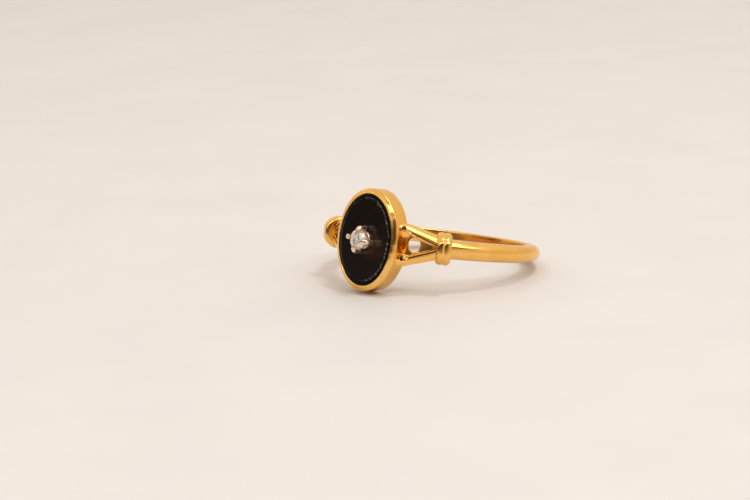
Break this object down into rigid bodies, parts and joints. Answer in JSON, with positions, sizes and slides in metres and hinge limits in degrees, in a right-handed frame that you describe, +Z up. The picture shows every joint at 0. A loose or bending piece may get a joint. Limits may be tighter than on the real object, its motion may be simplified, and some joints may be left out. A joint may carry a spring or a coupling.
{
  "type": "onyx ring",
  "caption": "Gold finger ring with an oval onyx in a rubbed-over bezel, a small claw-set diamond on it, forked pierced shoulders, beaded collars and a half-round shank.",
  "frame": {"origin": "on the surface that the ring lies on, under the middle of its box", "axes": "+Z up, about along the finger; +Y from the bezel to the back of the shank; +X to the ring's side, right as seen by one who faces the onyx"},
  "size_m": [0.0192, 0.0211, 0.0092],
  "materials": {
    "gold": "satin, softly polished yellow gold",
    "onyx": "polished",
    "white_gold": "polished",
    "diamond": "polished facets"
  },
  "bodies": {
    "root": {"gold_mount": "gold", "onyx_tablet": "onyx", "claw_setting": "white_gold", "diamond": "diamond"}
  },
  "joints": []
}
